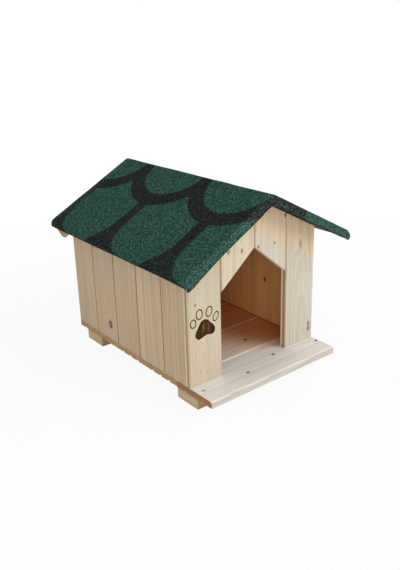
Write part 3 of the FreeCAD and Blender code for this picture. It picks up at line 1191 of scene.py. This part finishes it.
@dataclass
class PawMark:
    """A paw print engraved in the board left of the doorway.

    The draft is the size of the pad's bottom over that of its top.
    """

    board: str = "front_board_left"
    finish: BurnFinish = BurnFinish()
    line_radius: float = 0.0013
    pad_depth: float = 0.0013
    pad_draft: float = 0.965
    proud: float = 0.003
    toes: tuple[Toe, ...] = (
        Toe(-0.1585, 0.1768, 0.0066, 0.0084),
        Toe(-0.1433, 0.1921, 0.0073, 0.0099),
        Toe(-0.1195, 0.1917, 0.0072, 0.0102, 16),
        Toe(-0.1032, 0.1770, 0.0060, 0.0095, 24),
    )
    pad: tuple[Reading, ...] = (
        (-0.1310, 0.1785), (-0.1225, 0.1755), (-0.1160, 0.1680), (-0.1080, 0.1600), (-0.1050, 0.1520),
        (-0.1075, 0.1445), (-0.1150, 0.1420), (-0.1225, 0.1440), (-0.1300, 0.1437), (-0.1400, 0.1407),
        (-0.1475, 0.1400), (-0.1540, 0.1470), (-0.1535, 0.1550), (-0.1480, 0.1640), (-0.1430, 0.1720),
        (-0.1380, 0.1770),
    )

    def build(self) -> None:
        """Cuts the print into a copy of the board, which then stands for the board."""
        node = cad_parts[self.board]
        piece = new_piece(f"{self.board}_engraved", settled(node, f"{self.board}_engraved"))
        for cutter in (*(self.ring(toe) for toe in self.toes), self.pad_block()):
            modify(piece, "engraving", "BOOLEAN", object=cutter, operation="DIFFERENCE", solver="EXACT")
            settle(piece, piece.name)
            bpy.data.objects.remove(cutter)
        self.finish.dress(piece, FRONT_FACE)
        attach(piece, "house")
        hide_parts(self.board)
        LOG.info("engraved %s", piece.name)

    def ring(self, toe: Toe) -> bpy.types.Object:
        """Sweeps a round cutter along a toe's outline.

        Args:
            toe: The ring to cut.

        Returns:
            The cutter.
        """
        steps, sides = 56, 12
        spine = toe.outline(steps)
        form = bmesh.new()
        loops = []
        for step, point in enumerate(spine):
            ahead = (spine[(step + 1) % steps] - spine[step - 1]).normalized()
            out = ahead.cross(Vector((0, 1, 0)))
            loop = []
            for side in range(sides):
                turn = 2 * math.pi * side / sides
                off = out * math.cos(turn) + Vector((0, math.sin(turn), 0))
                loop.append(form.verts.new(point + off * self.line_radius))
            loops.append(loop)
        bridge(form, [*loops, loops[0]], closed=True)
        return self.cutter(form, "toe_cutter")

    def pad_block(self) -> bpy.types.Object:
        """Raises the pad's rounded outline into a block with sloping sides.

        Returns:
            The cutter.
        """
        rounded = self.round_outline(4)
        middle = sum(rounded, Vector((0.0, 0.0))) / len(rounded)
        form = bmesh.new()
        loops = []
        for depth, shrink in ((-self.proud, 1.0), (0.0, 1.0), (self.pad_depth, self.pad_draft)):
            flat = [middle + (spot - middle) * shrink for spot in rounded]
            loops.append([form.verts.new((spot.x, FRONT_FACE + depth, spot.y)) for spot in flat])
        bridge(form, loops, closed=True)
        form.faces.new(loops[0])
        form.faces.new(loops[-1])
        return self.cutter(form, "pad_cutter")

    def round_outline(self, parts: int) -> list[Vector]:
        """Draws a smooth closed line through the pad's points.

        Args:
            parts: Number of points for each one that is given.

        Returns:
            The points of the line.
        """
        points = [Vector(point) for point in self.pad]
        count = len(points)
        rounded = []
        for index in range(count):
            before, here = points[index - 1], points[index]
            there, beyond = points[(index + 1) % count], points[(index + 2) % count]
            bend = 2 * before - 5 * here + 4 * there - beyond
            turn = 3 * here - before - 3 * there + beyond
            for part in range(parts):
                t = part / parts
                rounded.append((2 * here + (there - before) * t + bend * t * t + turn * t ** 3) / 2)
        return rounded

    def cutter(self, form: bmesh.types.BMesh, name: str) -> bpy.types.Object:
        """Turns a form into a hidden object to cut with.

        Args:
            form: The form.
            name: The object's name.

        Returns:
            The cutter.
        """
        bmesh.ops.recalc_face_normals(form, faces=form.faces)
        piece = new_piece(name, as_mesh(form, name))
        piece.hide_render = True
        return piece


@dataclass(frozen=True)
class SheetPoint:
    """A place on the felt's profile and its outward direction.

    Up is the distance up the pattern, and rim the distance to the cut edge of the eave fold.
    """

    x: float
    z: float
    out_x: float
    out_z: float
    up: float
    rim: float = 0.05

    def at(self, y: float, off: float) -> Vector:
        """Returns the place along the roof at a distance outward from the profile."""
        return Vector((self.x + self.out_x * off, y, self.z + self.out_z * off))


@dataclass(frozen=True)
class EaveFold:
    """How the felt is folded round an eave.

    Attributes:
        start: How far up the slope its first bend starts.
        bends: Radius and angle in degrees of each bend in turn, before it runs on straight.
        run: Length of the fold from there to its cut edge, against Y.
    """

    start: float
    bends: tuple[Reading, ...]
    run: tuple[Reading, ...]

    def walk(self, down: float) -> tuple[float, float, float]:
        """Follows the fold from the slope.

        Args:
            down: The distance to go.

        Returns:
            How far that is beyond the start, how far below the slope's face, and the angle turned.
        """
        ahead = drop = turned = 0.0
        for radius, angle in self.bends:
            part = min(down, radius * math.radians(angle))
            turn = turned + part / radius
            ahead += radius * (math.sin(turn) - math.sin(turned))
            drop += radius * (math.cos(turned) - math.cos(turn))
            turned = turn
            down -= part
        return ahead + down * math.cos(turned), drop + down * math.sin(turned), turned


@dataclass
class RoofFelt:
    """One sheet of felt over both slopes, folded down at the eaves and the verges.

    Slope places are pairs of the distance up from the boards' eave edge and the height above the
    boards' underside. A side is -1 on the left and 1 on the right, an end -1 at the front and 1 at
    the back.

    Attributes:
        eave: Underside corner of the boards at the right eave.
        lay: How far the felt's face stands off the boards.
        left_eave: Fold round the left eave, which hangs down in front of the boards.
        right_eave: Fold round the right eave, which stands out as a lip and curls in at its ends.
        ridge_zone: Distance from the ridge within which the verge fold is pinched.
        ridge_blend: Distance within which it goes from one side's height to the other's.
        arris: Radius of the bend to a verge fold.
        spacing: Size of the sheet's faces.
        unevenness: How far the sheet stands off its bed, in so many waves to the metre.
        flare: How far the verge folds stand out at their lower edge.
        ripple: How far they wave there, in so many ripples to the metre.
        left_front: Lower edge of the left verge fold against the distance from the ridge.
    """

    finish: FeltFinish = FeltFinish()
    eave: Reading = (0.21, 0.2816)
    board: float = 0.012
    lay: float = 0.003
    left_eave: EaveFold = EaveFold(
        0.011, ((0.014, 90),),
        ((-0.2466, 0.034), (-0.2436, 0.0268), (-0.2, 0.0235), (0.0, 0.022), (0.2586, 0.0197)),
    )
    right_eave: EaveFold = EaveFold(
        0.005, ((0.026, 48), (0.0068, 132)),
        (
            (-0.2436, 0.0338), (-0.235, 0.031), (-0.215, 0.0255), (0.05, 0.0245), (0.235, 0.0255),
            (0.2556, 0.033),
        ),
    )
    ridge_bend: float = 0.010
    ridge_zone: float = 0.006
    ridge_pinch: float = 0.4
    ridge_blend: float = 0.005
    arris: float = 0.003
    front: float = -0.24665
    back: float = 0.25865
    thickness: float = 0.0024
    spacing: float = 0.004
    unevenness: float = 0.0005
    waves: float = 11.0
    flare: float = 0.0005
    ripple: float = 0.0006
    ripples: float = 16.0
    left_front: tuple[Reading, ...] = (
        (0.0, -0.0005), (0.03, -0.0005), (0.032, -0.0015), (0.15, -0.0038), (0.208, -0.008), (0.235, -0.012),
    )
    right_front: tuple[Reading, ...] = (
        (0.0, -0.0065), (0.063, -0.006), (0.12, -0.005), (0.164, -0.0053), (0.199, -0.0046), (0.236, -0.0041),
    )
    rear_fold: tuple[Reading, ...] = ((0.0, -0.0038), (0.103, -0.0048), (0.173, -0.003), (0.243, -0.0042))

    @property
    def top(self) -> float:
        """Height of the felt's face above the boards' underside."""
        return self.board + self.lay

    @property
    def ridge_up(self) -> float:
        """Distance up the slope at which the felt's two faces would meet."""
        return (self.eave[0] + self.top * RISE) / LEVEL

    def from_slope(self, up: float, high: float, side: int) -> Reading:
        """Returns X and Z of a slope place."""
        return side * (self.eave[0] - up * LEVEL + high * RISE), self.eave[1] + up * RISE + high * LEVEL

    def slope_point(
        self, up: float, high: float, out: Reading, pattern: float, side: int, rim: float = 0.05
    ) -> SheetPoint:
        """Makes a profile point of a slope place.

        Args:
            up: The place's distance up the slope.
            high: Its height above the boards' underside.
            out: The outward direction there, up the slope and off it.
            pattern: How far up the pattern it would be on the left.
            side: The side that it is on.
            rim: How far the cut edge of the eave fold is.

        Returns:
            The point.
        """
        x, z = self.from_slope(up, high, side)
        out_x = side * (-out[0] * LEVEL + out[1] * RISE)
        out_z = out[0] * RISE + out[1] * LEVEL
        return SheetPoint(x, z, out_x, out_z, pattern if side < 0 else 2 * self.ridge_up - pattern, rim)

    def eave_fold(self, side: int) -> EaveFold:
        """Returns the fold round one eave."""
        return self.left_eave if side < 0 else self.right_eave

    def eave_point(self, down: float, rim: float, side: int) -> SheetPoint:
        """Finds a profile point round an eave.

        Args:
            down: Distance from the slope's end.
            rim: Distance to the cut edge.
            side: The side that it is on.

        Returns:
            The point.
        """
        fold = self.eave_fold(side)
        ahead, drop, turn = fold.walk(down)
        out = (-math.sin(turn), math.cos(turn))
        return self.slope_point(fold.start - ahead, self.top - drop, out, fold.start - down, side, rim)

    def profile(self, y: float) -> list[SheetPoint]:
        """Draws the sheet's line across the roof at one place along it.

        Args:
            y: The place along the roof.

        Returns:
            The points from the left eave's fold to the right one's.
        """
        fold_parts = 18
        halves = []
        for side in (-1, 1):
            fold = self.eave_fold(side)
            run = read_off(fold.run, y)
            rims = [run * part / fold_parts for part in range(fold_parts + 1)]
            half = [self.eave_point(run - rim, rim, side) for rim in rims]
            slope = self.ridge_up - self.ridge_bend * math.tan(ROOF_PITCH) - fold.start
            parts = round(slope / self.spacing)
            ups = [fold.start + slope * part / parts for part in range(1, parts)]
            halves.append(half + [self.slope_point(up, self.top, (0.0, 1.0), up, side) for up in ups])
        return halves[0] + self.ridge_points() + halves[1][::-1]

    def ridge_points(self) -> list[SheetPoint]:
        """Draws the bend over the ridge.

        Returns:
            Its points from left to right.
        """
        parts = 8
        _, apex = self.from_slope(self.ridge_up, self.top, -1)
        centre = apex - self.ridge_bend / LEVEL
        points = []
        for part in range(parts + 1):
            turn = ROOF_PITCH * (2 * part / parts - 1)
            out = (math.sin(turn), math.cos(turn))
            x, z = self.ridge_bend * out[0], centre + self.ridge_bend * out[1]
            points.append(SheetPoint(x, z, *out, self.ridge_up + self.ridge_bend * turn))
        return points

    def fold_end(self, point: SheetPoint, end: int) -> Reading:
        """Finds where a verge fold ends below a point of the profile.

        Args:
            point: The point at the top of the fold.
            end: The end that the fold is at.

        Returns:
            X and Z of the fold's lower edge there.
        """
        side = -1 if point.up < self.ridge_up else 1
        up = point.up if side < 0 else 2 * self.ridge_up - point.up
        up = max(up, self.eave_fold(side).start)
        span = self.eave[0] / LEVEL
        front = self.left_front if side < 0 else self.right_front
        low = read_off(front if end < 0 else self.rear_fold, max(0.0, span - up))
        at_ridge = abs(point.x) < self.ridge_zone
        if end < 0 and at_ridge:
            share = ease(point.x, -self.ridge_blend, self.ridge_blend)
            low = self.left_front[0][1] * (1 - share) + self.right_front[0][1] * share
        x, z = self.from_slope(min(up, span + low * math.tan(ROOF_PITCH)), low, side)
        return (point.x * self.ridge_pinch, z) if at_ridge else (x, z)

    def rows(self) -> list[Row]:
        """Lays out the whole sheet.

        Returns:
            Rows from the front fold's edge to the back fold's, each a list of place and pattern place.
        """
        fold_parts, arris_parts = 5, 4
        start, stop = self.front + self.arris, self.back - self.arris
        count = round((stop - start) / self.spacing)
        rows = [self.flat_row(start + (stop - start) * part / count) for part in range(count + 1)]
        for end, edge in ((-1, start), (1, stop)):
            line = self.profile(edge + end * self.arris)
            turns = [math.pi / 2 * part / arris_parts for part in range(1, arris_parts + 1)]
            shares = [part / fold_parts for part in range(1, fold_parts + 1)]
            bent = [self.arris_row(line, edge, end, turn) for turn in turns]
            bent += [self.fold_row(line, edge, end, share) for share in shares]
            rows = bent[::-1] + rows if end < 0 else rows + bent
        return rows

    def lift(self, point: SheetPoint, y: float) -> float:
        """Returns how far the sheet stands off its bed there, which is never quite even."""
        spot = Vector((point.up * self.waves, y * self.waves, 4.0))
        return self.unevenness * (noise.noise(spot) + 0.6 * noise.noise(spot * 2.7))

    def flat_row(self, y: float) -> Row:
        """Returns a row on the slopes."""
        line = self.profile(y)
        return [(point.at(y, self.lift(point, y)), Vector((point.up, y, point.rim))) for point in line]

    def arris_row(self, line: list[SheetPoint], edge: float, end: int, turn: float) -> Row:
        """Lays out a row in the bend from a slope to a verge fold.

        Args:
            line: The profile at the verge.
            edge: Where the bend starts on Y.
            end: The end that it is at.
            turn: How far round the bend the row lies.

        Returns:
            The row.
        """
        y = edge + end * self.arris * math.sin(turn)
        run = edge + end * self.arris * turn
        drop = self.arris * (1 - math.cos(turn))
        row = []
        for point in line:
            place = point.at(y, self.lift(point, edge) * math.cos(turn) - drop)
            row.append((place, Vector((point.up, run, point.rim))))
        return row

    def fold_row(self, line: list[SheetPoint], edge: float, end: int, share: float) -> Row:
        """Lays out a row on a verge fold.

        Args:
            line: The profile at the verge.
            edge: Where the bend starts on Y.
            end: The end that it is at.
            share: How far down the fold the row lies, from 0 to 1.

        Returns:
            The row.
        """
        y = edge + end * self.arris
        row = []
        for point in line:
            top = point.at(y, -self.arris)
            x, z = self.fold_end(point, end)
            foot = Vector((x, y, z))
            spot = top.lerp(foot, share)
            run = self.arris * math.pi / 2 + (spot - top).length
            wave = self.ripple * noise.noise(Vector((point.up * self.ripples, 7.0 * end, 1.5)))
            place = Vector((spot.x, y + end * (self.flare + wave) * share, spot.z))
            rim = min(point.rim, (foot - spot).length)
            row.append((place, Vector((point.up, edge + end * run, rim))))
        return row

    def build(self) -> None:
        """Makes the sheet, which stands for the plain felt."""
        form = bmesh.new()
        layer = form.verts.layers.float_vector.new(FELT_LAY)
        grid = []
        for row in self.rows():
            corners = []
            for place, pattern in row:
                corner = form.verts.new(place)
                corner[layer] = pattern
                corners.append(corner)
            grid.append(corners)
        bridge(form, grid, closed=False)
        bmesh.ops.remove_doubles(form, verts=form.verts, dist=2 * WELD_GAP)
        piece = new_piece("felt_sheet", as_mesh(form, "felt_sheet"))
        self.finish.dress(piece)
        modify(
            piece, "thickness", "SOLIDIFY", thickness=self.thickness, offset=-1, material_offset=1,
            material_offset_rim=1,
        )
        settle(piece, "felt_sheet_thick")
        piece.data.shade_smooth()
        piece.data.set_sharp_from_angle(angle=math.radians(50))
        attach(piece, "roof")
        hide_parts("roofing_felt")
        LOG.info("built %s with %d faces", piece.name, len(piece.data.polygons))


@dataclass(frozen=True)
class Lamp:
    """A large round soft light: the way to it from the house, its power, distance and size."""

    name: str
    way: Place
    power: float
    far: float = 3.0
    size: float = 2.2
    aim: Place = (0.0, 0.0, 0.2)

    def hang(self) -> None:
        """Puts the lamp in the scene, facing the house."""
        light = bpy.data.lights.new(self.name, "AREA")
        light.shape = "DISK"
        light.size = self.size
        light.energy = self.power
        lamp = new_piece(self.name, light)
        way = Vector(self.way).normalized()
        lamp.location = Vector(self.aim) + way * self.far
        lamp.rotation_mode = "QUATERNION"
        lamp.rotation_quaternion = (-way).to_track_quat("-Z", "Y")


@dataclass
class Studio:
    """A pale floor, soft light and the photograph's point of view.

    The floor keeps a share of its own light and shade, and goes over into plain white between the two
    distances of the backdrop. Lens and sensor are millimetres.
    """

    eye: Place = (-0.85401, -1.11229, 0.71849)
    ahead: Place = (0.58197, 0.7399, -0.33743)
    upright: Place = (0.23042, 0.2479, 0.94099)
    lens: float = 42.375
    shift: Reading = (-0.00526, -0.04386)
    sensor: float = 36.0
    clip: Reading = (0.02, 60.0)
    sky: float = 0.62
    lamps: tuple[Lamp, ...] = (
        Lamp("key", (0.433, -0.75, 0.5), 36.0),
        Lamp("fill", (-0.6, -0.78, 0.18), 20.0),
    )
    floor_half: float = 8.0
    floor_drop: float = 0.0003
    paint: Colour = (0.9, 0.9, 0.9)
    backdrop: Reading = (0.5, 1.6)
    shadow: float = 0.09

    def build(self) -> None:
        """Sets up the floor, the light and the camera."""
        self.put_floor()
        self.light()
        self.aim()

    def put_floor(self) -> None:
        """Lays a white floor that keeps the house's shadow."""
        form = bmesh.new()
        bmesh.ops.create_grid(form, x_segments=2, y_segments=2, size=self.floor_half)
        floor = new_piece("studio_floor", as_mesh(form, "studio_floor"))
        floor.location.z = -self.floor_drop
        sheet = NodeSheet.material("studio_floor")
        paint = sheet.put("ShaderNodeBsdfDiffuse", {"Color": (*self.paint, 1.0)})
        glow = sheet.put("ShaderNodeEmission", {"Color": WHITE, "Strength": 1.0})
        x, y, _ = sheet.split(sheet.place())
        share = sheet.seen() * (x.hypot(y).step(*self.backdrop) * self.shadow + (1 - self.shadow))
        both = sheet.put("ShaderNodeMixShader", {0: share, 1: paint, 2: glow})
        sheet.put_last("ShaderNodeOutputMaterial", both)
        sheet.put_on(floor)

    def light(self) -> None:
        """Lights a pale room with large soft lamps in front."""
        world = bpy.data.worlds.new("studio")
        bpy.context.scene.world = world
        sheet = NodeSheet(world)
        room = sheet.put("ShaderNodeBackground", {"Color": WHITE, "Strength": self.sky})
        white = sheet.put("ShaderNodeBackground", {"Color": WHITE, "Strength": 1.0})
        both = sheet.put("ShaderNodeMixShader", {0: sheet.seen(), 1: room, 2: white})
        sheet.put_last("ShaderNodeOutputWorld", both)
        for lamp in self.lamps:
            lamp.hang()

    def aim(self) -> None:
        """Puts the camera where the photograph was taken from."""
        data = bpy.data.cameras.new("photo_view")
        data.lens = self.lens
        data.sensor_width = self.sensor
        data.shift_x, data.shift_y = self.shift
        data.clip_start, data.clip_end = self.clip
        camera = new_piece("photo_view", data)
        back = -Vector(self.ahead).normalized()
        right = Vector(self.upright).cross(back).normalized()
        turn = Matrix((right, back.cross(right), back)).transposed()
        camera.matrix_world = Matrix.Translation(self.eye) @ turn.to_4x4()
        bpy.context.scene.camera = camera


def main() -> None:
    """Builds and dresses each sub-assembly in order."""
    logging.basicConfig(level=logging.INFO, format="%(name)s: %(message)s")
    bpy.context.scene.view_settings.view_transform = "Standard"
    timber = (GableWalls(), SideWalls(), FloorAndFeet(), InnerFrame(), RoofDeck())
    for assembly in (*timber, Brads(), PawMark(), RoofFelt(), Studio()):
        assembly.build()


if __name__ == "__main__":
    main()
